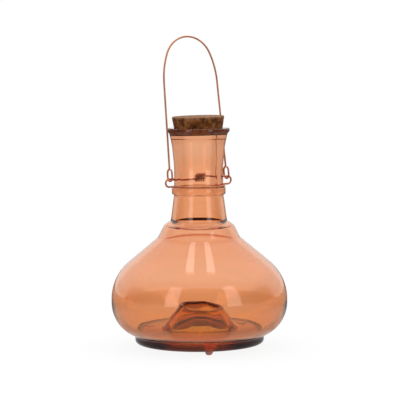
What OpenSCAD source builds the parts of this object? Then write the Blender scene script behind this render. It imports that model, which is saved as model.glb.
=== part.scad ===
// Glass fly trap: an amber glass bulb with an entrance funnel in its base, a cork in its mouth,
// a wire collar bound round its neck and a wire bail that swings on the collar's two ears.
// The axis of the glass is Z, the trap stands on z = 0 and the hinge of the bail runs along X.

/* [Base and feet] */
// Height of the feet below the base
foot_h = 3.4; // [2:0.1:6]
// Radius of a foot's flat tip
foot_tip_r = 2.6; // [1.5:0.1:4]
// Radius of a foot where it runs into the base
foot_top_r = 6.2; // [4.5:0.1:7]
// Distance from the side of the base to a foot's centre
foot_inset = 6.3; // [5:0.1:12]
// Direction of the first foot, seen from above
foot_angle = 6; // [0:1:119]
// Outside diameter of the base ring
base_d = 106.6; // [98:0.2:116]
// Height of the base ring
base_h = 6.6; // [6:0.1:11]
// Rounding of the base's lower edge
base_edge_r = 4.5; // [2:0.1:5.5]

/* [Bulb] */
// Widest outside diameter of the bulb
bulb_d = 145.4; // [134:0.2:158]
// Height of the widest circle above the underside of the base
bulb_up = 36.3; // [32:0.1:42]
// Height of the crease below the collar above the widest circle
shoulder_h = 51.3; // [46:0.1:60]
// Slope of the bulb's upper flank
flank_angle = 40; // [36:0.5:44]
// Slope of the bulb's underside
underside_angle = 22; // [18:0.5:26]
// Wall of the bulb
bulb_wall = 3.7; // [2.5:0.1:5]
// Thickness of the floor
floor_t = 9.6; // [7:0.1:12]

/* [Entrance funnel] */
// Diameter of the hole that the flies come in by
hole_d = 25.8; // [20:0.2:32]
// Height of the hole above the underside of the base
funnel_h = 31.6; // [24:0.1:38]
// Wall of the funnel at the hole
funnel_wall = 4.6; // [3:0.1:6]
// Diameter of the funnel's open foot in the underside of the base
funnel_mouth_d = 56; // [48:0.5:64]
// Diameter at which the funnel rises from the floor
funnel_foot_d = 60; // [54:0.5:72]

/* [Collar and neck] */
// Outside diameter of the neck at its narrowest
neck_d = 40.4; // [38:0.1:43]
// Wall of the neck and collar
neck_wall = 4.4; // [3:0.1:5.5]
// How far the crease under the collar stands out from the neck
crease_out = 13.6; // [12:0.1:16]
// Height of the collar's sloping side
collar_h = 9.6; // [8:0.1:12]
// How far the collar's upper edge stands out from the neck
collar_out = 9; // [7:0.1:10.5]
// Height from the collar's upper edge to the foot of the neck
collar_cap_h = 6.2; // [5:0.1:8]
// How far the foot of the neck stands out
neck_foot_out = 3.4; // [2.4:0.1:5]
// Height from the foot of the neck to the bead
neck_low_h = 19.8; // [16:0.1:24]
// How far the neck stands out just under the bead
neck_low_out = 1.3; // [0.8:0.1:1.7]
// How far the bead stands out
bead_out = 1.9; // [1.6:0.1:2.4]
// Height of the bead
bead_h = 6.2; // [4:0.1:8]

/* [Mouth] */
// Height of the narrow part of the neck above the bead
groove_h = 17.2; // [14:0.1:22]
// Height of the flare under the lip
flare_h = 26.5; // [22:0.1:32]
// How far the flare has opened two thirds of the way up
flare_belly = 1.7; // [1:0.1:2.4]
// Wall of the flare at the lip
flare_wall = 3.5; // [2.5:0.1:4.5]
// Height of the lip
lip_h = 4.8; // [3.5:0.1:6.5]
// Height of the lip's upright edge
lip_edge_h = 2.6; // [2:0.1:3.4]
// How far the lip stands out from the flare
lip_out = 1.75; // [1:0.05:2.5]

/* [Cork] */
// Diameter of the cork's top
cork_top_d = 43.8; // [42:0.1:46]
// Diameter of the cork's bottom
cork_bottom_d = 38.6; // [36:0.1:41]
// Height of the cork
cork_h = 15; // [13:0.1:20]
// Depth of the cork in the mouth
cork_in = 5.2; // [4:0.1:8]
// Rounding of the cork's edges
cork_edge_r = 1; // [0.4:0.1:2]
// Gap between the cork and the mouth
cork_gap = 0.25; // [0.15:0.05:0.5]

/* [Wire collar] */
// Diameter of the wire of the collar and the bail
wire_d = 1.5; // [1.2:0.05:1.8]
// Gap between the collar's wire and the glass, and between the wires side by side
wire_gap = 0.3; // [0.3:0.05:0.5]
// Radius of the bends where the collar turns out into its ears
ear_bend_r = 2.5; // [1.8:0.1:3]
// Direction of the binding at the back of the neck
binding_angle = 53; // [40:1:75]
// Angle by which each wire end runs past the middle of the binding
tail_angle = 14; // [13:0.5:18]
// Slope of the strand that passes under the other one at the binding
strand_slope = 7; // [6.5:0.1:8]
// Diameter of the binding wire
binding_d = 1.2; // [0.9:0.05:1.3]
// Turns of the binding wire
binding_turns = 5; // [3:1:5]
// Clear gap between the turns of the binding wire, on the middle of the strands
binding_gap = 0.7; // [0.6:0.05:0.8]

/* [Bail] */
// Height of the bail above its hinge
bail_h = 117; // [105:0.5:130]
// Height of the arch at the top of the bail
arch_h = 37.5; // [32:0.5:42]
// How far the arch's top radius is drawn in from the legs
arch_in = 3.4; // [2.5:0.1:5]
// Inward lean of the legs
leg_lean = 1.3; // [0.8:0.1:2]
// Gap between the upright legs and the lip
leg_gap = 0.4; // [0.3:0.05:1.5]
// Radius of the loops that hook the ears, on the middle of the wire
loop_r = 3.4; // [3:0.1:4]
// Straight length of the loops' sides
loop_len = 3; // [2:0.1:5]
// Radius of the bend from a leg into its loop
loop_bend_r = 1.6; // [1.2:0.1:2]
// Angle between a leg and the free end of its loop
loop_open = 28; // [28:1:45]
// Gap between a loop and the ear's bar
loop_gap = 0.25; // [0.2:0.05:0.4]
// Swing of the bail to either side of upright
swing_limit = 125; // [110:1:128]
// Lean of the resting bail towards the back
bail_lean = 8; // [0:1:15]

/* [Hidden] */

// Circles are round at any size, and arcs in an outline turn by this much a step
$fn = 48;
arc_step = 6;
// Share of a side that the fillets at its two ends may take up
fillet_room = 0.98;
// Least length that a corner's fillet is taken to use of a side
least_len = 0.001;
// Runs of wire end this far short of a joint, in a ball that stands this much proud of the wire
knot_gap = 0.05;
knot_swell = 0.02;

// Fillets of the glass
funnel_mouth_round = 3;
base_crease_r = 2;
crease_r = 7;
collar_edge_r = 4;
neck_foot_r = 5;
bead_edge_r = 0.8;
flare_ease_r = 60;
lip_under_r = 1.5;
lip_edge_r = 1.8;
mouth_edge_r = 0.8;
seat_ease_r = 3;
bore_ease_r = 30;
floor_edge_r = 8;
funnel_foot_r = 6;
hole_edge_r = 2.2;
least_r = 1;

// Radii and heights of the glass, from the floor up
base_r = base_d / 2;
bulb_r = bulb_d / 2;
neck_r = neck_d / 2;
hole_r = hole_d / 2;
foot_circle_r = base_r - foot_inset;
foot_cone_h = foot_h + base_edge_r + least_r;
base_z = foot_h;
base_top = base_z + base_h;
floor_z = base_z + floor_t;
hole_z = base_z + funnel_h;
bulb_z = base_z + bulb_up;
crease_z = bulb_z + shoulder_h;
collar_z = crease_z + collar_h;
neck_foot_z = collar_z + collar_cap_h;
bead_z = neck_foot_z + neck_low_h;
bead_top = bead_z + bead_h;
groove_top = bead_top + groove_h;
belly_z = groove_top + flare_h * 2 / 3;
lip_z = groove_top + flare_h;
rim_z = lip_z + lip_h;

// The bulb's upper and lower corners, rounded until the arcs nearly meet at the widest circle
high_z = crease_z - (bulb_r - neck_r - crease_out) * tan(flank_angle);
low_z = base_top + (bulb_r - base_r) * tan(underside_angle);
high_r = (high_z - bulb_z) / tan((90 - flank_angle) / 2);
low_r = (bulb_z - low_z) / tan((90 - underside_angle) / 2);
floor_r = base_r - bulb_wall * sin(underside_angle)
    - (base_top + bulb_wall * cos(underside_angle) - floor_z) / tan(underside_angle);

// The cork, and the tapered seat that it leaves in the mouth
cork_z = rim_z - cork_in;
cork_taper = (cork_top_d - cork_bottom_d) / 2 / cork_h;
seat_z = cork_z - least_r;
seat_r = cork_bottom_d / 2 + cork_gap - least_r * cork_taper;
mouth_r = cork_bottom_d / 2 + cork_gap + cork_in * cork_taper;
flare_r = mouth_r + flare_wall;
rim_r = flare_r + lip_out;
bore_r = neck_r - neck_wall;

// The wire collar: a front strand on the bead, ears at both sides and two strands behind the neck
wire_r = wire_d / 2;
front_r = neck_r + wire_gap + wire_r;
front_z = bead_top + wire_gap + wire_r;
ear_h = (loop_r + wire_d + wire_gap) / sin(swing_limit);
hinge_z = front_z + ear_h;
binding_a = wire_r + 2 * wire_gap + binding_d / 2;
back_r = neck_r + wire_gap + binding_a + binding_d / 2;

// The bail: its legs clear the lip when they stand upright, and its loops clear the ears' bends
lean_rise = tan(leg_lean);
hinge_x = max(rim_r + leg_gap + wire_r + (rim_z - hinge_z) * lean_rise,
    bend_reach(back_r, ear_bend_r) + wire_gap + wire_r);
ear_x = hinge_x + wire_r + wire_gap;
leg_z = bail_h - arch_h;
leg_x = hinge_x - leg_z * lean_rise;
leg_len = leg_z / cos(leg_lean);
top_r = leg_x - arch_in;
top_z = bail_h - top_r;
top_rise = top_z - leg_z;
side_r = (leg_x * leg_x + top_rise * top_rise - top_r * top_r)
    / 2 / (leg_x * cos(leg_lean) - top_rise * sin(leg_lean) - top_r);
side_x = leg_x - side_r * cos(leg_lean);
side_z = leg_z - side_r * sin(leg_lean);
blend_angle = atan2(top_z - side_z, -side_x);
loop_low = loop_r - wire_d - loop_gap;
loop_top = loop_low + loop_len;

// The binding wire, an oval helix along the strands
binding_pitch = binding_d + binding_gap;
binding_b = binding_a + back_r * sin(binding_angle) * sin(strand_slope) / 2;
binding_rings = 12;
binding_sides = 8;
binding_last = binding_turns * binding_rings;

// Outlines: each point is a radius, a height and the fillet of its corner
function at(points, i) = points[(i + len(points)) % len(points)];
function place(point) = [point.x, point.y];
function side(points, i) = place(at(points, i + 1)) - place(at(points, i));
function turn(points, i) =
    let (u = side(points, i - 1), v = side(points, i)) atan2(cross(u, v), u * v);
function fillet_len(points, i) = at(points, i)[2] * tan(abs(turn(points, i)) / 2);
function side_share(points, i) =
    norm(side(points, i)) * fillet_room / max(fillet_len(points, i) + fillet_len(points, i + 1), least_len);
function fillet(points, i) =
    at(points, i)[2] * min(1, side_share(points, i - 1), side_share(points, i));
function left_of(u) = [-u.y, u.x] / norm(u);
function spun(u, angle) =
    [u.x * cos(angle) - u.y * sin(angle), u.x * sin(angle) + u.y * cos(angle)];
function arc(start, spoke, sweep) =
    let (steps = ceil(abs(sweep) / arc_step))
    [for (k = [0 : steps]) start - spoke + spun(spoke, sweep * k / steps)];
function corner(points, i) =
    let (
        radius = fillet(points, i),
        sweep = turn(points, i),
        u = side(points, i - 1),
        start = place(at(points, i)) - u / norm(u) * radius * tan(abs(sweep) / 2)
    )
    radius == 0 ? [place(at(points, i))] : arc(start, -left_of(u) * sign(sweep) * radius, sweep);
function rounded(points) = [for (i = [0 : len(points) - 1]) each corner(points, i)];

// The inner face of a wall at one corner of its outline, with the fillet that keeps the wall even
function inner(points, i) =
    let (
        wall = points[i][3],
        n = left_of(side(points, i - 1)),
        m = left_of(side(points, i)),
        p = place(points[i]) + (n + m) / (1 + n * m) * wall,
        radius = points[i][2]
    )
    [p.x, p.y, radius == 0 ? 0 : max(least_r, radius - sign(turn(points, i)) * wall)];

// Outline of the blown shell from the base ring to the bead, with the wall at each corner
shell = [
    [base_r, base_top, base_crease_r, bulb_wall],
    [bulb_r, low_z, low_r, bulb_wall],
    [bulb_r, bulb_z, 0, bulb_wall],
    [bulb_r, high_z, high_r, bulb_wall],
    [neck_r + crease_out, crease_z, crease_r, neck_wall],
    [neck_r + collar_out, collar_z, collar_edge_r, neck_wall],
    [neck_r + neck_foot_out, neck_foot_z, neck_foot_r, neck_wall],
    [neck_r + neck_low_out, bead_z, bead_edge_r, neck_wall],
];
neck_outline = [
    [neck_r + bead_out, bead_z, bead_edge_r],
    [neck_r + bead_out, bead_top, bead_edge_r],
    [neck_r, bead_top, wire_r + wire_gap],
    [neck_r, groove_top, flare_ease_r],
    [neck_r + flare_belly, belly_z, flare_ease_r],
    [flare_r, lip_z, lip_under_r],
    [rim_r, rim_z - lip_edge_h, lip_under_r],
    [rim_r, rim_z, lip_edge_r],
];
inside_outline = [
    [mouth_r, rim_z, mouth_edge_r],
    [seat_r, seat_z, seat_ease_r],
    [bore_r, groove_top, bore_ease_r],
    [bore_r, bead_top, bore_ease_r],
    for (i = [len(shell) - 2 : -1 : 1]) inner(shell, i),
    [floor_r, floor_z, floor_edge_r],
];
funnel_outline = [
    [funnel_foot_d / 2, floor_z, funnel_foot_r],
    [hole_r + funnel_wall, hole_z, hole_edge_r],
    [hole_r, hole_z, hole_edge_r],
    [funnel_mouth_d / 2, base_z, funnel_mouth_round],
    [base_r, base_z, base_edge_r],
];
cork_outline = [
    [0, cork_z, 0],
    [cork_bottom_d / 2, cork_z, cork_edge_r],
    [cork_top_d / 2, cork_z + cork_h, cork_edge_r],
    [0, cork_z + cork_h, 0],
];

// A wire on a circle that bends out to run straight away from the circle's centre
function bend_reach(radius, bend_r) = sqrt(pow(radius + bend_r, 2) - pow(bend_r, 2));
function bend_angle(radius, bend_r) = asin(bend_r / (radius + bend_r));

// The middle of the binding wire after some turns, and one ring of its surface
function binding_at(turns) =
    let (
        round = turns * 360,
        along = binding_angle + (turns - binding_turns / 2) * binding_pitch / back_r * 180 / PI,
        reach = back_r + binding_a * cos(round),
        drop = back_r * sin(along) * sin(strand_slope) / 2
    )
    [reach * cos(along), reach * sin(along), hinge_z - drop + binding_b * sin(round)];
binding_path = [for (k = [0 : binding_last]) binding_at(k / binding_rings)];
function path_along(path, k) =
    let (run = path[min(k + 1, len(path) - 1)] - path[max(k - 1, 0)]) run / norm(run);
function ring(path, k, up, d, sides) =
    let (
        t = path_along(path, k),
        u = cross(up, t) / norm(cross(up, t)),
        v = cross(t, u)
    )
    [for (s = [0 : sides - 1]) path[k] + d / 2 * (u * cos(s * 360 / sides) + v * sin(s * 360 / sides))];
binding_up = [-sin(binding_angle), cos(binding_angle), 0];
binding_free = min([
    for (i = [0 : binding_last]) for (j = [i + binding_rings / 2 : 1 : binding_last])
        norm(binding_path[i] - binding_path[j])
]) - binding_d;
echo(binding_least_gap = binding_free);

// A closed tube along a path
module tube(path, up, d, sides) {
    last = len(path) - 1;
    polyhedron(
        points = [for (k = [0 : last]) each ring(path, k, up, d, sides)],
        faces = [
            for (k = [0 : last - 1]) for (s = [0 : sides - 1])
                let (a = k * sides + s, b = k * sides + (s + 1) % sides)
                each [[a, a + sides, b], [b, a + sides, b + sides]],
            for (s = [1 : sides - 2]) each [
                [0, s, s + 1],
                [last * sides, last * sides + s + 1, last * sides + s]
            ]
        ]
    );
}

// An arc of wire round the origin, in the XY plane, which stops just short of its ends
module bend(radius, from, to) {
    short = knot_gap / radius * 180 / PI;
    rotate([0, 0, from + short])
        rotate_extrude(angle = to - from - 2 * short)
            translate([radius, 0])
                circle(d = wire_d);
}

// A straight wire along X, which stops just short of its ends
module straight(from, to) {
    translate([from + knot_gap, 0, 0])
        rotate([0, 90, 0])
            cylinder(h = to - from - 2 * knot_gap, d = wire_d);
}

// Balls that join the runs of wire which meet on an arc round the origin
module knots(radius, angles) {
    for (angle = angles)
        rotate([0, 0, angle])
            translate([radius, 0, 0])
                sphere(d = wire_d + 2 * knot_swell);
}

// The bend from an arc round the origin to a straight wire along X
module turn_out(radius, bend_r) {
    ends = [180 + bend_angle(radius, bend_r), 270];
    translate([bend_reach(radius, bend_r), bend_r, 0]) {
        bend(bend_r, ends[0], ends[1]);
        knots(bend_r, ends);
    }
}

module both_sides() {
    children();
    mirror([1, 0, 0]) children();
}

module glass_vessel() {
    color([0.88, 0.58, 0.41, 0.6]) {
        rotate_extrude()
            polygon(rounded(concat(shell, neck_outline, inside_outline, funnel_outline)));
        for (k = [0 : 2])
            rotate([0, 0, foot_angle + k * 120])
                translate([foot_circle_r, 0, 0])
                    cylinder(h = foot_cone_h, r1 = foot_tip_r, r2 = foot_top_r);
    }
}

module cork_stopper() {
    color([0.45, 0.28, 0.16])
        rotate_extrude()
            polygon(rounded(cork_outline));
}

// One ear, standing in the XZ plane: two bars joined by a half circle
module ear() {
    translate([0, 0, hinge_z])
        straight(bend_reach(back_r, ear_bend_r), ear_x);
    translate([0, 0, front_z])
        straight(bend_reach(front_r, ear_bend_r), ear_x);
    translate([ear_x, 0, front_z + ear_h / 2])
        rotate([90, 0, 0]) {
            bend(ear_h / 2, -90, 90);
            knots(ear_h / 2, [-90, 90]);
        }
}

module neck_wire() {
    front_turn = bend_angle(front_r, ear_bend_r);
    back_turn = bend_angle(back_r, ear_bend_r);
    color([0.72, 0.45, 0.34]) {
        both_sides() ear();
        translate([0, 0, front_z]) {
            bend(front_r, 180 + front_turn, 360 - front_turn);
            both_sides() mirror([0, 1, 0]) turn_out(front_r, ear_bend_r);
        }
        translate([0, 0, hinge_z]) {
            turn_out(back_r, ear_bend_r);
            bend(back_r, back_turn, binding_angle + tail_angle);
            rotate([-strand_slope, 0, 0]) {
                mirror([1, 0, 0]) turn_out(back_r, ear_bend_r);
                bend(back_r, binding_angle - tail_angle, 180 - back_turn);
            }
        }
    }
}

module binding_wire() {
    color([0.55, 0.30, 0.20])
        tube(binding_path, binding_up, binding_d, binding_sides);
}

// One leg along X with the hinge at the origin, ending in an oval loop round the ear's bar
module leg() {
    loop_turn = bend_angle(loop_r, loop_bend_r);
    straight(loop_top + bend_reach(loop_r, loop_bend_r), leg_len);
    translate([loop_top, 0, 0]) {
        turn_out(loop_r, loop_bend_r);
        bend(loop_r, loop_turn, 90);
        bend(loop_r, -90, -loop_open);
        knots(loop_r, [-90, 90]);
    }
    for (y = [-loop_r, loop_r])
        translate([0, y, 0])
            straight(loop_low, loop_top);
    translate([loop_low, 0, 0]) {
        bend(loop_r, 90, 270);
        knots(loop_r, [90, 270]);
    }
}

module bail() {
    color([0.76, 0.49, 0.38])
        translate([0, 0, hinge_z])
            rotate([-bail_lean, 0, 0]) {
                both_sides() {
                    translate([hinge_x, 0, 0])
                        rotate([0, -90 - leg_lean, 0])
                            leg();
                    translate([side_x, 0, side_z])
                        rotate([90, 0, 0]) {
                            bend(side_r, leg_lean, blend_angle);
                            knots(side_r, [leg_lean, blend_angle]);
                        }
                }
                translate([0, 0, top_z])
                    rotate([90, 0, 0])
                        bend(top_r, blend_angle, 180 - blend_angle);
            }
}

glass_vessel();
cork_stopper();
neck_wire();
binding_wire();
bail();
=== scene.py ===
import math

import bpy
from mathutils import Matrix, Quaternion, Vector, noise


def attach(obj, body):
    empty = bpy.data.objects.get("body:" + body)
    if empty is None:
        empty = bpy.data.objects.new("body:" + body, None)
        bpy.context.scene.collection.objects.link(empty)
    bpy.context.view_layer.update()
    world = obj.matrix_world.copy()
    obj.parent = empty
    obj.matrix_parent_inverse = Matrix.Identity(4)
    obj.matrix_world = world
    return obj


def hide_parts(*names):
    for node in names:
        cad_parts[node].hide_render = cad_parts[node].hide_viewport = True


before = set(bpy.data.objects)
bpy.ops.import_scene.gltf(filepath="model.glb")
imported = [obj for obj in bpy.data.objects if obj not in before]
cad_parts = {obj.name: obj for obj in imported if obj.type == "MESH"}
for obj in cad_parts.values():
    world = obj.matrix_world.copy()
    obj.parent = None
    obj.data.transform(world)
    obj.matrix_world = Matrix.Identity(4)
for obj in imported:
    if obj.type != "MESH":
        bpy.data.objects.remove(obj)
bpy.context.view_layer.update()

MM = 0.001

# Feet and base ring: radii and heights in millimetres, as in the solids
FOOT_COUNT = 3
FOOT_ANGLE = math.radians(6.0)
FOOT_H = 3.4
FOOT_TIP_R = 2.6
FOOT_ROUND = 0.12
FOOT_CONE_R = 6.2
FOOT_CONE_H = 5.5
FOOT_SLOPE = (FOOT_CONE_H + FOOT_H) / (FOOT_CONE_R - FOOT_TIP_R)
FOOT_FIELD_R = 36.0
FOOT_FIELD_TOP = 2.0
FOOT_NEAR = math.radians(9.0)
NEAR_SECTIONS = 36
FAR_SECTIONS = 54
DRIP_OUT = 0.9
DRIP_HALF = 1.6
DRIP_SPREAD = 0.62
DRIP_POINT = 1.5
DRIP_IN = 5.0
DRIP_ABOVE = 0.3
BASE_R = 53.3
FOOT_CIRCLE_R = BASE_R - 6.3
BASE_Z = FOOT_H
BASE_TOP = BASE_Z + 6.6

# Bulb, neck and lip
BULB_R = 72.7
BULB_Z = BASE_Z + 36.3
FLANK = math.radians(40.0)
UNDERSIDE = math.radians(22.0)
BULB_WALL = 3.7
FLOOR_Z = BASE_Z + 9.6
NECK_R = 20.2
NECK_WALL = 4.4
CREASE_OUT = 13.6
CREASE_Z = BULB_Z + 51.3
COLLAR_Z = CREASE_Z + 9.6
NECK_FOOT_Z = COLLAR_Z + 6.2
BEAD_OUT = 1.9
BEAD_Z = NECK_FOOT_Z + 19.8
BEAD_TOP = BEAD_Z + 6.2
GROOVE_TOP = BEAD_TOP + 17.2
THROAT_OUT = 1.7
LIP_Z = GROOVE_TOP + 26.5
LIP_EDGE_H = 2.6
RIM_Z = LIP_Z + 4.8
FILLET_ROOM = 0.98
FINE_ERROR = 0.006
GLASS_ERROR = 0.013
GLASS_STEP = 2.4

# Entrance funnel, and how far its hand-made form strays from a true cone
HOLE_R = 12.9
HOLE_Z = BASE_Z + 31.6
HOLE_LIP = 4.6
FUNNEL_FOOT_R = 30.0
FUNNEL_MOUTH_R = 28.0
DRIFT_REACH = 14.0
FUNNEL_SHIFT = 1.4
FUNNEL_SWELL = 1.5
SWELL_SCALE = 1.4
SWELL_SEED = Vector((3.1, 0.7, 5.2))
FUNNEL_LIFT = 1.0
LIFT_SCALE = 1.2
LIFT_SEED = Vector((8.3, 4.6, 1.5))
FUNNEL_TILT = 0.075
FUNNEL_PITCH = 0.12
FUNNEL_SINK = 1.2

# Cork
CORK_BOTTOM_R = 19.3
CORK_TOP_R = 21.9
CORK_H = 15.0
CORK_IN = 5.2
CORK_Z = RIM_Z - CORK_IN
CORK_TOP_Z = CORK_Z + CORK_H
CORK_EDGE_R = 1.0
CORK_TILT = math.radians(1.2)
CORK_GAP = 0.25
CORK_SECTIONS = 220
CORK_STEP = 0.62
CORK_DISH = 0.2
CORK_SKIN = 0.06
GRAIN_DEPTH = 0.16
FINE_DEPTH = 0.10
PIT_DEPTH = 0.62
PIT_REACH = 0.34
DOT_REACH = 0.30
PRESSED_REACH = 1.5
PRESSED_FLAT = 0.8
# The gripped band is painted lighter, as painted light through the glass rim.
PRESSED_PAINTED_LIGHT = 1.2
EDGE_WEAR_H = 2.4
MIDDLE_WEAR = 0.55
OUTER_WEAR = 0.45
SEAT_TIGHT = 0.9
SEAT_BELOW = 2.8
CORK_TAPER = (CORK_TOP_R - CORK_BOTTOM_R) / CORK_H
MOUTH_R = CORK_BOTTOM_R + CORK_GAP + CORK_IN * CORK_TAPER
FLARE_R = MOUTH_R + 3.5
RIM_R = FLARE_R + 1.75

# Wires
WIRE_R = 0.75
WIRE_GAP = 0.3
WIRE_END = 0.22
LEAST_STEP = 0.02
EAR_BEND_R = 2.5
BINDING_R = 0.6
BINDING_SIDES = 12
BINDING_ANGLE = math.radians(53.0)
BINDING_TURNS = 5
BINDING_PITCH = 2 * BINDING_R + 0.7
TAIL_ANGLE = math.radians(14.0)
STRAND_SLOPE = math.radians(7.0)
FRONT_R = NECK_R + WIRE_GAP + WIRE_R
FRONT_Z = BEAD_TOP + WIRE_GAP + WIRE_R
LOOP_R = 3.4
LOOP_BEND_R = 1.6
LOOP_OPEN = math.radians(28.0)
LOOP_CLEAR = 0.25
LOOP_LOW = LOOP_R - 2 * WIRE_R - LOOP_CLEAR
LOOP_TOP = LOOP_LOW + 3.0
SWING = math.radians(125.0)
EAR_H = (LOOP_R + 2 * WIRE_R + WIRE_GAP) / math.sin(SWING)
HINGE_Z = FRONT_Z + EAR_H
BINDING_A = WIRE_R + 2 * WIRE_GAP + BINDING_R
BACK_R = NECK_R + WIRE_GAP + BINDING_A + BINDING_R
BINDING_B = BINDING_A + BACK_R * math.sin(BINDING_ANGLE) * math.sin(STRAND_SLOPE) / 2
BAIL_H = 117.0
ARCH_H = 37.5
ARCH_IN = 3.4
LEG_LEAN = math.radians(1.3)
LEG_CLEAR = 0.4
BAIL_LEAN = math.radians(8.0)
HINGE_X = RIM_R + LEG_CLEAR + WIRE_R + (RIM_Z - HINGE_Z) * math.tan(LEG_LEAN)
EAR_X = HINGE_X + WIRE_R + WIRE_GAP

# Glass: its colour by depth, and the tints of its surface
GLASS_DEEP = (0.860, 0.434, 0.086, 1.0)
GLASS_DENSITY = 110.0
GLASS_TINT = (1.0, 0.80, 0.66, 1.0)
# The upper neck's paler tint is a painted reflection of the overhead light.
UPPER_NECK_PAINTED_HIGHLIGHT = (1.0, 0.86, 0.765, 1.0)
LOW_NECK_TINT = (1.0, 0.765, 0.60, 1.0)
RIM_TINT = (1.0, 0.91, 0.80, 1.0)
DISC_TINT = (1.0, 1.0, 1.0, 1.0)
# The base ring's two dark tints are painted shade.
RING_PAINTED_SHADE = (0.085, 0.13, 0.10, 1.0)
RING_FOOT_PAINTED_SHADE = (0.030, 0.050, 0.045, 1.0)
FUNNEL_TINT = (1.0, 0.82, 0.30, 1.0)
# The hole's dark tint is painted shade.
HOLE_PAINTED_SHADE = (0.26, 0.11, 0.05, 1.0)

# Camera: the photograph's viewing angle, seen from a little above the bail, in metres
SENSOR_WIDTH = 36.0
CAMERA_AZIMUTH = math.radians(-33.0)
CAMERA_DISTANCE = 1.60
CAMERA_HEIGHT = 0.262
CAMERA_ROLL = math.radians(-0.35)
FRAME_WIDTH = 0.3286
AIM_Z = 0.1217
AIM_RIGHT = 0.0010

# Studio: a bright tent that is open low down in front, two tall strips beside the camera, two strips
# overhead, two grey flags and two darker cards beside the backdrop, in metres
STRIP_LEFT = math.radians(-36.0)
STRIP_RIGHT = math.radians(46.0)
STRIP_DISTANCE = 1.3
STRIP_WIDTH = 0.42
STRIP_LOW = 0.02
STRIP_HIGH = 1.30
STRIP_RADIANCE = 1.75
OVERHEAD_LEFT = 0.20
OVERHEAD_RIGHT = 0.25
OVERHEAD_BACK = 0.17
OVERHEAD_HEIGHT = 1.55
OVERHEAD_WIDTH = 0.17
OVERHEAD_LENGTH = 0.5
OVERHEAD_RADIANCE = 2.1
TENT_LEVEL = 1.02
TENT_EDGE = 0.288
TENT_SOFT = 0.03
TENT_SLOPE = 0.593
ROOM_TONE = 0.08
SOFT_LIGHT = 0.35
FLAG_LEFT = 0.12
FLAG_RIGHT = 0.18
FLAG_OUTER = 0.20
SIDE_CARD = 0.68
FLOOR_HALF = 40000.0
FLOOR_NEAR = 0.45
FLOOR_FAR = 0.12
FLOOR_SEEN = 0.85
FLOOR_LIGHT = 0.50
FLOOR_GLOW = 0.9
FLOOR_MIRRORED = 0.5
WHITE = (1, 1, 1, 1)

view_way = Vector((-math.sin(CAMERA_AZIMUTH), math.cos(CAMERA_AZIMUTH), 0.0))
right_way = Vector((view_way.y, -view_way.x, 0.0))


# Outlines

def left_of(u):
    return Vector((-u.y, u.x)).normalized()


def spun(u, angle):
    c, s = math.cos(angle), math.sin(angle)
    return Vector((u.x * c - u.y * s, u.x * s + u.y * c))


def turn_between(u, v):
    return math.atan2(u.x * v.y - u.y * v.x, u.dot(v))


def rounded(points, error):
    """Outline points, with an arc for the fillet of each corner (radius, height, fillet)."""
    n = len(points)
    place = [Vector(p[:2]) for p in points]
    sides = [place[(i + 1) % n] - place[i] for i in range(n)]
    turns = [turn_between(sides[i - 1], sides[i]) for i in range(n)]
    lens = [points[i][2] * math.tan(abs(turns[i]) / 2) for i in range(n)]
    shares = [sides[i].length * FILLET_ROOM / max(lens[i] + lens[(i + 1) % n], 1e-3) for i in range(n)]
    out = []
    for i in range(n):
        radius = points[i][2] * min(1.0, shares[i - 1], shares[i])
        if radius == 0:
            out.append(place[i])
            continue
        u = sides[i - 1].normalized()
        start = place[i] - u * radius * math.tan(abs(turns[i]) / 2)
        spoke = left_of(u) * math.copysign(radius, -turns[i])
        step = 2 * math.acos(1 - min(error / radius, 0.2))
        steps = max(3, math.ceil(abs(turns[i]) / step))
        out += [start - spoke + spun(spoke, turns[i] * k / steps) for k in range(steps + 1)]
    return out


def split_long(points, longest):
    """The line from the first point to the last, with its long sides cut into shorter ones."""
    out = []
    for p, q in zip(points, points[1:]):
        parts = max(1, math.ceil((q - p).length / longest))
        out += [p.lerp(q, k / parts) for k in range(parts)]
    return out


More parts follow.
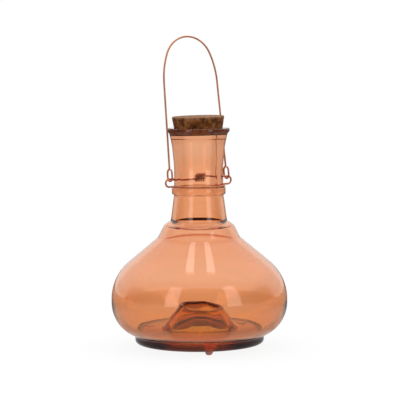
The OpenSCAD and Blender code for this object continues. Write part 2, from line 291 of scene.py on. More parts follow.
def glass_outline():
    """The section of the glass, up its outside and down its inside, as corners (radius, height, fillet)."""
    high_z = CREASE_Z - (BULB_R - NECK_R - CREASE_OUT) * math.tan(FLANK)
    low_z = BASE_TOP + (BULB_R - BASE_R) * math.tan(UNDERSIDE)
    high_r = (high_z - BULB_Z) / math.tan((math.pi / 2 - FLANK) / 2)
    low_r = (BULB_Z - low_z) / math.tan((math.pi / 2 - UNDERSIDE) / 2)
    floor_r = BASE_R - BULB_WALL * math.sin(UNDERSIDE) \
        - (BASE_TOP + BULB_WALL * math.cos(UNDERSIDE) - FLOOR_Z) / math.tan(UNDERSIDE)
    shell = [
        (BASE_R, BASE_TOP, 2.0),
        (BULB_R, low_z, low_r),
        (BULB_R, BULB_Z, 0.0),
        (BULB_R, high_z, high_r),
        (NECK_R + CREASE_OUT, CREASE_Z, 3.0),
        (NECK_R + 8.4, COLLAR_Z + 0.9, 6.4),
        (NECK_R + 3.0, NECK_FOOT_Z - 1.9, 0.35),
        (NECK_R + 0.1, BEAD_Z, 0.8),
    ]
    neck = [
        (NECK_R + BEAD_OUT, BEAD_Z, 2.0),
        (NECK_R + BEAD_OUT, BEAD_TOP, 1.6),
        (NECK_R, BEAD_TOP, WIRE_R + WIRE_GAP),
        (NECK_R, GROOVE_TOP, 60.0),
        (NECK_R + THROAT_OUT, GROOVE_TOP + (LIP_Z - GROOVE_TOP) * 2 / 3, 60.0),
        (FLARE_R, LIP_Z, 2.0),
        (RIM_R, RIM_Z - LIP_EDGE_H, 0.9),
        (RIM_R, RIM_Z, 1.0),
    ]
    # The mouth grips the cork, the bore is straight, and a small ridge goes round inside the neck's foot
    bore_r = NECK_R - NECK_WALL
    seat_z = CORK_Z - SEAT_BELOW
    seat_r = MOUTH_R - SEAT_TIGHT - (RIM_Z - seat_z) * CORK_TAPER
    inside = [
        (MOUTH_R - SEAT_TIGHT, RIM_Z, 1.0),
        (seat_r, seat_z, 0.5),
        (seat_r - 0.5, seat_z - 0.6, 0.5),
        (bore_r, GROOVE_TOP, 30.0),
        (bore_r, BEAD_TOP, 30.0),
        (NECK_R - 0.9, NECK_FOOT_Z - 2.6, 0.6),
        (NECK_R - 2.2, NECK_FOOT_Z - 3.6, 0.5),
        (NECK_R - 0.9, NECK_FOOT_Z - 4.7, 0.6),
        (NECK_R + 5.0, COLLAR_Z - 2.2, 2.0),
        (NECK_R + 10.1, CREASE_Z - 2.8, 7.4),
    ]
    # The bulb's inside follows its outside, one wall further in
    for i in (3, 2, 1):
        before, here, after = (Vector(shell[k][:2]) for k in (i - 1, i, i + 1))
        n, m = left_of(here - before), left_of(after - here)
        p = here + (n + m) / (1 + n.dot(m)) * BULB_WALL
        inside.append((p.x, p.y, max(0.0, shell[i][2] - BULB_WALL)))
    inside.append((floor_r, FLOOR_Z, 4.0))
    funnel = [
        (FUNNEL_FOOT_R, FLOOR_Z, 6.0),
        (HOLE_R + HOLE_LIP, HOLE_Z, 2.2),
        (HOLE_R, HOLE_Z, 2.2),
        (FUNNEL_MOUTH_R, BASE_Z, 3.0),
        (BASE_R, BASE_Z, 3.0),
    ]
    line = rounded(shell + neck + inside + funnel, GLASS_ERROR)
    return split_long(line + line[:1], GLASS_STEP)


# Pieces

def mesh_object(name, points, faces):
    """A smooth mesh piece from points in millimetres."""
    mesh = bpy.data.meshes.new(name)
    mesh.from_pydata([tuple(c * MM for c in p) for p in points], [], faces)
    mesh.polygons.foreach_set("use_smooth", [True] * len(faces))
    mesh.update()
    obj = bpy.data.objects.new(name, mesh)
    bpy.context.scene.collection.objects.link(obj)
    return obj


def add_values(obj, name, values):
    """A number on each point of a mesh, for its material to read."""
    obj.data.attributes.new(name, "FLOAT", "POINT").data.foreach_set("value", values)


def dress(obj, body, slot, material, *nodes):
    obj.data.materials.append(material)
    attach(obj, body)
    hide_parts(*nodes)


def section_angles():
    """Directions of the lathe's sections, closer together at the feet."""
    out = []
    rest = math.tau / FOOT_COUNT - 2 * FOOT_NEAR
    for k in range(FOOT_COUNT):
        middle = FOOT_ANGLE + k * math.tau / FOOT_COUNT
        out += [middle - FOOT_NEAR + 2 * FOOT_NEAR * j / NEAR_SECTIONS for j in range(NEAR_SECTIONS)]
        out += [middle + FOOT_NEAR + rest * j / FAR_SECTIONS for j in range(FAR_SECTIONS)]
    return out


def foot_height(x, y, z):
    """Height of the base's underside, drawn down over the feet."""
    for k in range(FOOT_COUNT):
        a = FOOT_ANGLE + k * math.tau / FOOT_COUNT
        d = math.hypot(x - FOOT_CIRCLE_R * math.cos(a), y - FOOT_CIRCLE_R * math.sin(a))
        z = min(z, FOOT_ROUND * min(d, FOOT_TIP_R) ** 2 + max(0.0, d - FOOT_TIP_R) * FOOT_SLOPE)
    return z


def drip(angle, z):
    """How far a foot's glass stands out from the base ring, as a drip that narrows downwards."""
    half = math.pi / FOOT_COUNT
    turn = (angle - FOOT_ANGLE + half) % (math.tau / FOOT_COUNT) - half
    off = abs(turn) * BASE_R / (DRIP_HALF + DRIP_SPREAD * z)
    return DRIP_OUT * max(0.0, 1 - off ** DRIP_POINT) if off < 1 else 0.0


def funnel_drift(r, angle):
    """How far the hand-made funnel strays from its true form, growing from its foot to its lip."""
    part = min(1.0, max(0.0, (FUNNEL_FOOT_R - r) / DRIFT_REACH))
    part = part * part * (3 - 2 * part)
    round_way = Vector((math.cos(angle), math.sin(angle), 0.0))
    swell = noise.noise(round_way * SWELL_SCALE + SWELL_SEED)
    lift = noise.noise(round_way * LIFT_SCALE + LIFT_SEED)
    slant = view_way * FUNNEL_PITCH - right_way * FUNNEL_TILT
    rise = FUNNEL_LIFT * lift - FUNNEL_SINK + r * round_way.dot(slant)
    return (right_way * FUNNEL_SHIFT + round_way * FUNNEL_SWELL * swell + Vector((0, 0, rise))) * part


def build_glass(material):
    outline = glass_outline()
    angles = section_angles()
    rows, turns = len(outline), len(angles)
    points, drips = [], []
    for a in angles:
        c, s = math.cos(a), math.sin(a)
        for p in outline:
            r, z = p.x, p.y
            out = drip(a, z) if r > BASE_R - DRIP_IN and z < BASE_TOP + DRIP_ABOVE else 0.0
            drips.append(out / DRIP_OUT)
            r += out
            x, y = r * c, r * s
            if z < BASE_TOP - FOOT_FIELD_TOP and r > FOOT_FIELD_R:
                z = foot_height(x, y, z)
            p = Vector((x, y, z))
            if r < FUNNEL_FOOT_R and z < HOLE_Z + 1:
                p += funnel_drift(r, a)
            points.append(p)
    faces = []
    for t in range(turns):
        u = (t + 1) % turns
        for k in range(rows):
            m = (k + 1) % rows
            faces.append((t * rows + k, u * rows + k, u * rows + m, t * rows + m))
    obj = mesh_object("vessel_glass", points, faces)
    add_values(obj, "drip", drips)
    dress(obj, "vessel", "glass", material, "glass_vessel")


def cork_depth(p):
    """How far the cork's skin lies below its true surface, and how deep in a pit."""
    grain = 0.5 + 0.5 * noise.noise(Vector(p) * 0.9)
    fine = 0.5 + 0.5 * noise.noise(Vector(p) * 2.3 + Vector((7.1, 3.3, 1.9)))
    streak = Vector((p[0] * 0.33, p[1] * 0.33, p[2] * 0.19))
    near = noise.voronoi(streak + Vector((2.7, 9.2, 4.4)))[0][0]
    pit = max(0.0, 1 - near / PIT_REACH) ** 0.7 if near < PIT_REACH else 0.0
    small = noise.voronoi(Vector(p) * 0.8)[0][0]
    dot = max(0.0, 1 - small / DOT_REACH)
    pit = min(1.0, pit * (0.4 + 0.9 * fine) + 0.55 * dot)
    return CORK_SKIN + GRAIN_DEPTH * grain + FINE_DEPTH * fine + PIT_DEPTH * pit, pit


def build_cork(material):
    line = rounded([
        (0.0, CORK_Z, 0.0),
        (CORK_BOTTOM_R, CORK_Z, CORK_EDGE_R),
        (CORK_TOP_R, CORK_TOP_Z, CORK_EDGE_R),
        (0.0, CORK_TOP_Z, 0.0),
    ], FINE_ERROR)
    cut = split_long(line, CORK_STEP)[1:]
    rows = len(cut)
    normals = []
    for i in range(rows):
        before = cut[i - 1] if i else line[0]
        after = cut[i + 1] if i + 1 < rows else line[-1]
        d = (after - before).normalized()
        normals.append(Vector((d.y, -d.x)))
    tilt = Matrix.Translation((0, 0, RIM_Z)) @ Matrix.Rotation(-CORK_TILT, 4, view_way) \
        @ Matrix.Translation((0, 0, -RIM_Z))
    points, pits, wear_and_light = [], [], []
    for j in range(CORK_SECTIONS):
        a = j * math.tau / CORK_SECTIONS
        c, s = math.cos(a), math.sin(a)
        for p, n in zip(cut, normals):
            depth, pit = cork_depth((p.x * c, p.x * s, p.y))
            # The cork is pressed smooth where the mouth grips it, and is painted lighter there as painted
            # light reaching it through the glass rim
            pressed = min(1.0, max(0.0, (RIM_Z - p.y) / PRESSED_REACH))
            depth *= 1 - PRESSED_FLAT * pressed
            q = p - n * depth
            points.append(tilt @ Vector((q.x * c, q.x * s, q.y)))
            pits.append(pit)
            edge = max(0.0, 1 - (CORK_TOP_Z - p.y) / EDGE_WEAR_H) \
                * min(1.0, MIDDLE_WEAR + p.x / CORK_TOP_R * OUTER_WEAR)
            wear_and_light.append(max(edge, PRESSED_PAINTED_LIGHT * pressed))
    faces = []
    for j in range(CORK_SECTIONS):
        m = (j + 1) % CORK_SECTIONS
        for k in range(rows - 1):
            faces.append((j * rows + k, m * rows + k, m * rows + k + 1, j * rows + k + 1))
    # The two ends are a little dished
    for k, z in ((0, CORK_Z + CORK_DISH), (rows - 1, CORK_TOP_Z - CORK_DISH)):
        hub = len(points)
        points.append(tilt @ Vector((0.0, 0.0, z)))
        pits.append(0.0)
        wear_and_light.append(MIDDLE_WEAR if k else 0.0)
        for j in range(CORK_SECTIONS):
            m = (j + 1) % CORK_SECTIONS
            ring = (j * rows + k, m * rows + k)
            faces.append((hub, *(ring if k else ring[::-1])))
    obj = mesh_object("cork_plug", points, faces)
    add_values(obj, "pit", pits)
    add_values(obj, "wear_and_light", wear_and_light)
    dress(obj, "cork", "cork", material, "cork_stopper")


def tube_object(name, path, radius, sides=16):
    """A closed wire along a path, with its cut ends a little rounded."""
    clean = [path[0]]
    for p in path[1:]:
        if (p - clean[-1]).length > LEAST_STEP:
            clean.append(p)
    last = len(clean) - 1
    runs = [(clean[min(i + 1, last)] - clean[max(i - 1, 0)]).normalized() for i in range(last + 1)]
    side = runs[0].orthogonal().normalized()
    rings = []
    for i, (p, t) in enumerate(zip(clean, runs)):
        if i:
            side = runs[i - 1].rotation_difference(t) @ side
        side = (side - t * side.dot(t)).normalized()
        rings.append((p, t, side.copy(), radius))
    edge = WIRE_END * radius
    p, t, s, r = rings[0]
    rings[0] = (p, t, s, r - edge)
    rings.insert(1, (p + t * edge, t, s, r))
    p, t, s, r = rings[-1]
    rings[-1] = (p, t, s, r - edge)
    rings.insert(len(rings) - 1, (p - t * edge, t, s, r))
    points, faces = [], []
    for p, t, s, r in rings:
        u = t.cross(s)
        for k in range(sides):
            a = k * math.tau / sides
            points.append(p + (s * math.cos(a) + u * math.sin(a)) * r)
    for i in range(len(rings) - 1):
        for k in range(sides):
            m = (k + 1) % sides
            faces.append((i * sides + k, i * sides + m, (i + 1) * sides + m, (i + 1) * sides + k))
    first = (len(rings) - 1) * sides
    faces.append(tuple(range(sides - 1, -1, -1)))
    faces.append(tuple(first + k for k in range(sides)))
    return mesh_object(name, points, faces)


# Wire paths

def arc_points(centre, radius, start, end, step=math.radians(6)):
    steps = max(3, math.ceil(abs(end - start) / step))
    return [
        Vector((centre[0] + radius * math.cos(start + (end - start) * k / steps),
                centre[1] + radius * math.sin(start + (end - start) * k / steps), 0.0))
        for k in range(steps + 1)
    ]


def line_points(start, end, longest=1.0):
    start, end = Vector(start), Vector(end)
    parts = max(1, math.ceil((end - start).length / longest))
    return [start.lerp(end, k / parts) for k in range(parts + 1)]


def bend_reach(radius, bend_r):
    return math.sqrt((radius + bend_r) ** 2 - bend_r ** 2)


def bend_angle(radius, bend_r):
    return math.asin(bend_r / (radius + bend_r))


def turned_out(radius, bend_r):
    """The bend from a circle round the origin out to a straight run along X."""
    centre = (bend_reach(radius, bend_r), bend_r)
    return arc_points(centre, bend_r, math.pi + bend_angle(radius, bend_r), 1.5 * math.pi, math.radians(12))


def moved(points, matrix):
    return [matrix @ p for p in points]


def leg_path():
    """One leg in its own plane, from the loop's free end up along X."""
    points = arc_points((LOOP_TOP, 0), LOOP_R, -LOOP_OPEN, -math.pi / 2)
    points += line_points((LOOP_TOP, -LOOP_R, 0), (LOOP_LOW, -LOOP_R, 0))
    points += arc_points((LOOP_LOW, 0), LOOP_R, 1.5 * math.pi, math.pi / 2)
    points += line_points((LOOP_LOW, LOOP_R, 0), (LOOP_TOP, LOOP_R, 0))
    points += arc_points((LOOP_TOP, 0), LOOP_R, math.pi / 2, bend_angle(LOOP_R, LOOP_BEND_R))
    points += [p + Vector((LOOP_TOP, 0, 0)) for p in turned_out(LOOP_R, LOOP_BEND_R)]
    leg_len = (BAIL_H - ARCH_H) / math.cos(LEG_LEAN)
    points += line_points((LOOP_TOP + bend_reach(LOOP_R, LOOP_BEND_R), 0, 0), (leg_len, 0, 0), 3.0)
    return points


def bail_path():
    """The bail's wire: a loop and a leg, the arch of three arcs, and the other leg and loop."""
    leg_z = BAIL_H - ARCH_H
    leg_x = HINGE_X - leg_z * math.tan(LEG_LEAN)
    top_r = leg_x - ARCH_IN
    top_z = BAIL_H - top_r
    top_rise = top_z - leg_z
    side_r = (leg_x ** 2 + top_rise ** 2 - top_r ** 2) / 2 \
        / (leg_x * math.cos(LEG_LEAN) - top_rise * math.sin(LEG_LEAN) - top_r)
    side_x = leg_x - side_r * math.cos(LEG_LEAN)
    side_z = leg_z - side_r * math.sin(LEG_LEAN)
    blend = math.atan2(top_z - side_z, -side_x)
    stand = Matrix.Translation((HINGE_X, 0, 0)) @ Matrix.Rotation(-math.pi / 2 - LEG_LEAN, 4, "Y")
    upright = Matrix.Rotation(math.pi / 2, 4, "X")
    half = moved(leg_path(), stand)
    half += moved(arc_points((side_x, side_z), side_r, LEG_LEAN, blend, math.radians(2)), upright)
    half += moved(arc_points((0, top_z), top_r, blend, math.pi / 2, math.radians(4)), upright)
    other = [Vector((-p.x, p.y, p.z)) for p in reversed(half[:-1])]
    lean = Matrix.Translation((0, 0, HINGE_Z)) @ Matrix.Rotation(-BAIL_LEAN, 4, "X")
    return moved(half + other, lean)


def collar_path():
    """The collar's wire from the right tail over both ears to the left tail."""
    step = math.radians(4)
    front_turn = bend_angle(FRONT_R, EAR_BEND_R)
    back_turn = bend_angle(BACK_R, EAR_BEND_R)
    front_x = bend_reach(FRONT_R, EAR_BEND_R)
    back_x = bend_reach(BACK_R, EAR_BEND_R)
    mirror = Matrix.Diagonal((-1, 1, 1, 1))
    flip = Matrix.Diagonal((1, -1, 1, 1))
    high = Matrix.Translation((0, 0, HINGE_Z))
    low = Matrix.Translation((0, 0, FRONT_Z))
    slope = high @ Matrix.Rotation(-STRAND_SLOPE, 4, "X")
    middle = Matrix.Translation((EAR_X, 0, FRONT_Z + EAR_H / 2)) @ Matrix.Rotation(math.pi / 2, 4, "X")
    tail = moved(arc_points((0, 0), BACK_R, BINDING_ANGLE + TAIL_ANGLE, back_turn, step), high)
    out_bar = moved(turned_out(BACK_R, EAR_BEND_R), high)
    out_bar += moved(line_points((back_x, 0, 0), (EAR_X, 0, 0)), high)
    ear = moved(arc_points((0, 0), EAR_H / 2, math.pi / 2, -math.pi / 2, math.radians(8)), middle)
    back_bar = moved(line_points((EAR_X, 0, 0), (front_x, 0, 0)), low)
    back_bar += moved(list(reversed(turned_out(FRONT_R, EAR_BEND_R))), low @ flip)
    front = moved(arc_points((0, 0), FRONT_R, math.tau - front_turn, math.pi + front_turn, step), low)
    left = moved(list(reversed(ear + back_bar)), mirror)
    left += moved(line_points((-EAR_X, 0, 0), (-back_x, 0, 0)), high)
    left += moved(list(reversed(turned_out(BACK_R, EAR_BEND_R))), slope @ mirror)
    end = moved(arc_points((0, 0), BACK_R, math.pi - back_turn, BINDING_ANGLE - TAIL_ANGLE, step), slope)
    return tail + out_bar + ear + back_bar + front + left + end


def binding_path(rings=36):
    """The fine wire's oval turns round the collar's two tails."""
    points = []
    for k in range(BINDING_TURNS * rings + 1):
        turns = k / rings
        a = turns * math.tau
        along = BINDING_ANGLE + (turns - BINDING_TURNS / 2) * BINDING_PITCH / BACK_R
        reach = BACK_R + BINDING_A * math.cos(a)
        drop = BACK_R * math.sin(along) * math.sin(STRAND_SLOPE) / 2
        points.append(Vector((reach * math.cos(along), reach * math.sin(along),
                              HINGE_Z - drop + BINDING_B * math.sin(a))))
    return points


# Shader nodes

def new_material(name):
    material = bpy.data.materials.new(name)
    material.use_nodes = True
    tree = material.node_tree
    return material, tree, tree.nodes["Principled BSDF"]


def set_inputs(node, **inputs):
    for key, value in inputs.items():
        node.inputs[key.replace("_", " ")].default_value = value


def add_node(tree, kind, **inputs):
    node = tree.nodes.new(kind)
    set_inputs(node, **inputs)
    return node


def fill(tree, socket, value):
    """A socket's plain value, or a link to it."""
    if isinstance(value, bpy.types.NodeSocket):
        tree.links.new(value, socket)
    else:
        socket.default_value = value


def math_node(tree, operation, first, second):
    node = tree.nodes.new("ShaderNodeMath")
    node.operation = operation
    for socket, value in zip(node.inputs, (first, second)):
        fill(tree, socket, value)
    return node.outputs[0]


def times(tree, first, second):
    return math_node(tree, "MULTIPLY", first, second)


def larger(tree, first, second):
    return math_node(tree, "MAXIMUM", first, second)


def vector_node(tree, operation, vector, other=None):
    node = tree.nodes.new("ShaderNodeVectorMath")
    node.operation = operation
    tree.links.new(vector, node.inputs[0])
    if other is not None:
        node.inputs[1].default_value = other
    return node


def dot_node(tree, vector, axis):
    return vector_node(tree, "DOT_PRODUCT", vector, axis).outputs["Value"]


def mix_node(tree, factor, first, second, blend="MIX"):
    node = tree.nodes.new("ShaderNodeMix")
    node.data_type = "RGBA"
    node.blend_type = blend
    for key, value in (("Factor", factor), ("A", first), ("B", second)):
        fill(tree, node.inputs[key], value)
    return node.outputs["Result"]


def fade(tree, value, start, end, low=0.0, high=1.0):
    """A smooth step from low to high as the value goes from start to end."""
    node = tree.nodes.new("ShaderNodeMapRange")
    node.interpolation_type = "SMOOTHSTEP"
    tree.links.new(value, node.inputs["Value"])
    set_inputs(node, From_Min=start, From_Max=end, To_Min=low, To_Max=high)
    return node.outputs["Result"]


def fade_out(tree, value, start, end):
    return fade(tree, value, start, end, 1.0, 0.0)


def ramp_node(tree, value, stops):
    """The colour at a value, from stops (place, colour)."""
    node = tree.nodes.new("ShaderNodeValToRGB")
    ramp = node.color_ramp
    while len(ramp.elements) < len(stops):
        ramp.elements.new(0.5)
    for element, (place, colour) in zip(ramp.elements, stops):
        element.position = place
        element.color = colour
    tree.links.new(value, node.inputs["Fac"])
    return node.outputs["Color"]


def object_coords(tree):
    return tree.nodes.new("ShaderNodeTexCoord").outputs["Object"]


def point_values(tree, name):
    node = tree.nodes.new("ShaderNodeAttribute")
    node.attribute_name = name
    return node.outputs["Fac"]


def noise_node(tree, where, **inputs):
    node = add_node(tree, "ShaderNodeTexNoise", **inputs)
    tree.links.new(where, node.inputs["Vector"])
    return node.outputs["Fac"]


def add_bump(tree, shader, height, strength, distance):
    bump = add_node(tree, "ShaderNodeBump", Strength=strength, Distance=distance)
    tree.links.new(height, bump.inputs["Height"])
    tree.links.new(bump.outputs["Normal"], shader.inputs["Normal"])


def srgb(r, g, b):
    """A colour written as it looks on screen, 0 to 255, as linear light."""
    def lin(c):
        c /= 255
        return c / 12.92 if c <= 0.04045 else ((c + 0.055) / 1.055) ** 2.4
    return (lin(r), lin(g), lin(b), 1.0)


def grey(tone):
    return (tone, tone, tone, 1)


# Materials

def glass_material():
    """Clear amber glass that is deeper in colour where it is thicker."""
    material, tree, shader = new_material("amber_glass")
    set_inputs(shader, Transmission_Weight=1.0, IOR=1.5, Roughness=0.0)
    absorb = add_node(tree, "ShaderNodeVolumeAbsorption", Color=GLASS_DEEP, Density=GLASS_DENSITY)
    tree.links.new(absorb.outputs["Volume"], tree.nodes["Material Output"].inputs["Volume"])
    where = object_coords(tree)
    flat = vector_node(tree, "MULTIPLY", where, (1, 1, 0)).outputs["Vector"]
    radius = vector_node(tree, "LENGTH", flat).outputs["Value"]
    parts = tree.nodes.new("ShaderNodeSeparateXYZ")
    tree.links.new(where, parts.inputs[0])
    height = parts.outputs["Z"]
    # The neck is paler towards its top, a painted reflection of the overhead light, and the base ring is
    # dark with painted shade, apart from the drips above its feet, which are left lighter as painted glints
    upper_neck_highlight = fade(tree, height, 0.150, 0.166)
    low_neck = times(tree, fade(tree, height, 0.103, 0.106), fade_out(tree, height, 0.124, 0.130))
    rim = fade(tree, height, 0.1745, 0.1765)
    disc = times(tree, fade_out(tree, radius, 0.044, 0.048), fade_out(tree, height, 0.0150, 0.0170))
    # Painted shade darkens the base ring, most at its foot, and is lifted on the drips as painted glints.
    ring = times(tree, fade(tree, radius, 0.0485, 0.0500), fade_out(tree, height, 0.0092, 0.0102))
    ring = times(tree, ring, fade(tree, point_values(tree, "drip"), 0.1, 0.9, 1.0, 0.55))
    ring_foot_shade = times(tree, ring, fade_out(tree, height, 0.0060, 0.0085))
    funnel = times(tree, fade_out(tree, radius, 0.029, 0.033), fade_out(tree, height, 0.040, 0.045))
    # Painted shade darkens the funnel's lip round its hole.
    hole_shade = times(tree, fade_out(tree, radius, 0.0148, 0.0165),
                 times(tree, funnel, fade(tree, height, 0.0265, 0.0295)))
    colour = GLASS_TINT
    for mask, tint in (
        (upper_neck_highlight, UPPER_NECK_PAINTED_HIGHLIGHT),
        (low_neck, LOW_NECK_TINT),
        (rim, RIM_TINT),
        (disc, DISC_TINT),
        (ring, RING_PAINTED_SHADE),
        (ring_foot_shade, RING_FOOT_PAINTED_SHADE),
        (funnel, FUNNEL_TINT),
        (hole_shade, HOLE_PAINTED_SHADE),
    ):
        colour = mix_node(tree, mask, colour, tint)
    tree.links.new(colour, shader.inputs["Base Color"])
    # Faint ripples of hand-blown glass
    add_bump(tree, shader, noise_node(tree, where, Scale=38.0, Detail=1.0), 0.12, 0.0006)
    return material


def cork_material():
    """Dark mottled cork with flecks and pits, paler along its rubbed edges, and painted lighter, as painted
    light, on the band the glass mouth grips.
    """
    material, tree, shader = new_material("dark_cork")
    set_inputs(shader, Roughness=0.85, Specular_IOR_Level=0.15)
    where = object_coords(tree)
    mottle = noise_node(tree, where, Scale=190.0, Detail=6.0, Roughness=0.60)
    base = ramp_node(tree, mottle, [
        (0.30, srgb(54, 26, 9)),
        (0.45, srgb(102, 56, 24)),
        (0.58, srgb(130, 80, 40)),
        (0.74, srgb(164, 114, 72)),
    ])
    flecks = add_node(tree, "ShaderNodeTexVoronoi", Scale=420.0)
    tree.links.new(where, flecks.inputs["Vector"])
    fleck_tone = ramp_node(tree, flecks.outputs["Distance"], [(0.0, grey(0.62)), (0.5, grey(1.0))])
    flecked = mix_node(tree, 0.8, base, fleck_tone, "MULTIPLY")
    # Rubbed edges and the painted light on the gripped band both lighten the cork here.
    worn_and_lit = mix_node(tree, times(tree, point_values(tree, "wear_and_light"), mottle), flecked, srgb(176, 138, 112))
    pitted = mix_node(tree, point_values(tree, "pit"), worn_and_lit, srgb(40, 20, 9))
    tree.links.new(pitted, shader.inputs["Base Color"])
    add_bump(tree, shader, noise_node(tree, where, Scale=900.0, Detail=4.0), 0.5, 0.0003)
    return material


def copper_material(name, light, dark):
    """Satin copper wire, unevenly tarnished and finely scratched."""
    material, tree, shader = new_material(name)
    set_inputs(shader, Metallic=1.0)
    where = object_coords(tree)
    tarnish = noise_node(tree, where, Scale=160.0, Detail=5.0, Roughness=0.6)
    colour = ramp_node(tree, tarnish, [(0.32, dark), (0.62, light)])
    tree.links.new(colour, shader.inputs["Base Color"])
    roughness = ramp_node(tree, tarnish, [(0.3, grey(0.62)), (0.7, grey(0.48))])
    tree.links.new(roughness, shader.inputs["Roughness"])
    add_bump(tree, shader, noise_node(tree, where, Scale=1400.0, Detail=3.0), 0.25, 0.0001)
    return material


# Stage, lights and camera

def flagged(tree, sideways, upwards=None):
    """How bright the backdrop is past its flags and cards, by how far right and up a direction points."""
    aside = math_node(tree, "ABSOLUTE", sideways, 0.0)
    dim = fade(tree, aside, 0.40, 0.52, 0.0, FLAG_OUTER)
    for side, depth in ((-1.0, FLAG_LEFT), (1.0, FLAG_RIGHT)):
        out = times(tree, sideways, side)
        flag = times(tree, fade(tree, out, 0.10, 0.20, 0.0, depth), fade_out(tree, out, 0.28, 0.38))
        dim = math_node(tree, "ADD", dim, flag)
    card = fade(tree, aside, 0.86, 0.95, 0.0, SIDE_CARD)
    if upwards is not None:
        dim = times(tree, dim, fade_out(tree, upwards, 0.10, 0.26))
        card = times(tree, card, fade_out(tree, upwards, 0.35, 0.55))
    return math_node(tree, "SUBTRACT", 1.0, larger(tree, dim, card))


def build_floor():
    """A pale floor, white where it is seen straight, apart from the shadow."""
    corners = [(x * FLOOR_HALF, y * FLOOR_HALF, 0) for x, y in ((-1, -1), (1, -1), (1, 1), (-1, 1))]
    obj = mesh_object("studio_floor", corners, [(0, 1, 2, 3)])
    material, tree, shader = new_material("pale_floor")
    link = tree.links.new
    set_inputs(shader, Roughness=0.9, Specular_IOR_Level=0.1)
    rays = tree.nodes.new("ShaderNodeLightPath").outputs
    where = object_coords(tree)
    distance = vector_node(tree, "LENGTH", where).outputs["Value"]
    # Brighter close to the trap than further out where it is mirrored, pale where it is seen or gives light
    tone = fade(tree, distance, 0.10, 0.36, FLOOR_NEAR, FLOOR_FAR)
    for ray, least in (("Is Camera Ray", FLOOR_SEEN), ("Is Diffuse Ray", FLOOR_LIGHT)):
        tone = larger(tree, times(tree, rays[ray], least), tone)
    link(tone, shader.inputs["Base Color"])
    straight = times(tree, rays["Is Camera Ray"], fade(tree, distance, 0.10, 0.9, FLOOR_GLOW, 1.0))
    # Light that has come through the glass tints the floor that shows through it
    sideways = math_node(tree, "DIVIDE", dot_node(tree, where, right_way), distance)
    through = times(tree, rays["Is Transmission Ray"], flagged(tree, sideways))
    # The ramp is painted light and shade: an amber pool of light, with painted shadow darker close under
    # the base ring and the funnel.
    tint = ramp_node(tree, distance, [
        (0.014, (0.62, 0.36, 0.16, 1)),
        (0.030, (0.66, 0.46, 0.30, 1)),
        (0.044, (0.58, 0.46, 0.28, 1)),
        (0.070, (0.86, 0.62, 0.32, 1)),
        (0.165, (0.83, 0.71, 0.58, 1)),
        (0.26, (0.90, 0.72, 0.55, 1)),
        (0.40, (0.97, 0.82, 0.68, 1)),
        (0.80, WHITE),
    ])
    # The underside of the bulb mirrors the bright floor close to it
    not_through = math_node(tree, "SUBTRACT", 1.0, rays["Is Transmission Ray"])
    outside = times(tree, rays["Is Glossy Ray"], not_through)
    mirrored = times(tree, outside, fade(tree, distance, 0.064, 0.076, FLOOR_MIRRORED, 0.0))
    glow = add_node(tree, "ShaderNodeEmission", Strength=1.0)
    link(mix_node(tree, larger(tree, rays["Is Camera Ray"], outside), tint, WHITE), glow.inputs["Color"])
    mix = tree.nodes.new("ShaderNodeMixShader")
    link(larger(tree, mirrored, larger(tree, straight, through)), mix.inputs["Fac"])
    link(shader.outputs["BSDF"], mix.inputs[1])
    link(glow.outputs["Emission"], mix.inputs[2])
    link(mix.outputs["Shader"], tree.nodes["Material Output"].inputs["Surface"])
    obj.data.materials.append(material)


def build_world():
    """A bright tent round the object, open low down in front, and white where the camera sees it."""
    world = bpy.data.worlds.new("white_studio")
    bpy.context.scene.world = world
    world.use_nodes = True
    tree = world.node_tree
    way = tree.nodes.new("ShaderNodeTexCoord").outputs["Generated"]
    tilt = dot_node(tree, way, view_way * TENT_SLOPE + Vector((0, 0, 1)))
    tent = fade(tree, tilt, TENT_EDGE - TENT_SOFT, TENT_EDGE + TENT_SOFT, ROOM_TONE, TENT_LEVEL)
    lit = times(tree, tent, flagged(tree, dot_node(tree, way, right_way), dot_node(tree, way, (0, 0, 1))))
    rays = tree.nodes.new("ShaderNodeLightPath").outputs
    soft = times(tree, rays["Is Diffuse Ray"], SOFT_LIGHT)
    back = tree.nodes["Background"]
    set_inputs(back, Color=WHITE)
    strength = larger(tree, math_node(tree, "ADD", lit, soft), rays["Is Camera Ray"])
    tree.links.new(strength, back.inputs["Strength"])


def add_softbox(name, place, facing, width, height, radiance):
    """A rectangular soft light, of even brightness over its face."""
    light = bpy.data.lights.new(name, "AREA")
    light.shape = "RECTANGLE"
    light.size, light.size_y = width, height
    light.energy = radiance * math.pi * width * height
    obj = bpy.data.objects.new(name, light)
    obj.location = place
    obj.rotation_euler = Vector(facing).to_track_quat("-Z", "Y").to_euler()
    bpy.context.scene.collection.objects.link(obj)
    return obj


def around(azimuth, distance, height):
    """A place round the object, with the camera's azimuth as zero."""
    a = CAMERA_AZIMUTH + azimuth
    return Vector((distance * math.sin(a), -distance * math.cos(a), height))


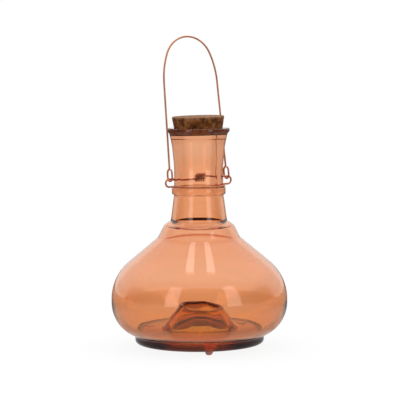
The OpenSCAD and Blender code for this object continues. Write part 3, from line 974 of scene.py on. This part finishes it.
def build_lights():
    for side, name, strip_angle, overhead_x in (
        (-1, "left", STRIP_LEFT, OVERHEAD_LEFT),
        (1, "right", STRIP_RIGHT, OVERHEAD_RIGHT),
    ):
        place = around(strip_angle, STRIP_DISTANCE, (STRIP_LOW + STRIP_HIGH) / 2)
        add_softbox("strip_" + name, place, (-place.x, -place.y, 0),
                    STRIP_WIDTH, STRIP_HIGH - STRIP_LOW, STRIP_RADIANCE)
        place = around(side * math.pi / 2, overhead_x, OVERHEAD_HEIGHT) + view_way * OVERHEAD_BACK
        lamp = add_softbox("overhead_" + name, place, (0, 0, -1),
                           OVERHEAD_WIDTH, OVERHEAD_LENGTH, OVERHEAD_RADIANCE)
        lamp.rotation_euler = (0, 0, CAMERA_AZIMUTH)


def build_camera():
    camera = bpy.data.cameras.new("camera")
    camera.sensor_width = SENSOR_WIDTH
    camera.lens = SENSOR_WIDTH * CAMERA_DISTANCE / FRAME_WIDTH
    obj = bpy.data.objects.new("camera", camera)
    obj.location = around(0.0, CAMERA_DISTANCE, CAMERA_HEIGHT)
    aim = Vector((0, 0, AIM_Z)) + right_way * AIM_RIGHT
    turn = (aim - obj.location).to_track_quat("-Z", "Y") @ Quaternion((0, 0, 1), CAMERA_ROLL)
    obj.rotation_euler = turn.to_euler()
    bpy.context.scene.collection.objects.link(obj)
    bpy.context.scene.camera = obj


# The scene

scene = bpy.context.scene
scene.view_settings.view_transform = "Standard"
scene.cycles.max_bounces = 32
scene.cycles.transmission_bounces = 32
scene.cycles.glossy_bounces = 12
scene.cycles.transparent_max_bounces = 16

build_camera()
build_glass(glass_material())
build_cork(cork_material())
copper = copper_material("copper_wire", srgb(244, 170, 128), srgb(226, 142, 102))
dress(tube_object("bail_wire", bail_path(), WIRE_R), "bail", "copper_wire", copper, "bail")
dress(tube_object("collar_wire", collar_path(), WIRE_R), "vessel", "copper_wire", copper, "neck_wire")
dark_copper = copper_material("binding_copper", srgb(200, 96, 56), srgb(150, 62, 32))
dress(tube_object("binding_coil", binding_path(), BINDING_R, BINDING_SIDES), "vessel", "copper_wire",
      dark_copper, "binding_wire")

build_floor()
build_world()
build_lights()
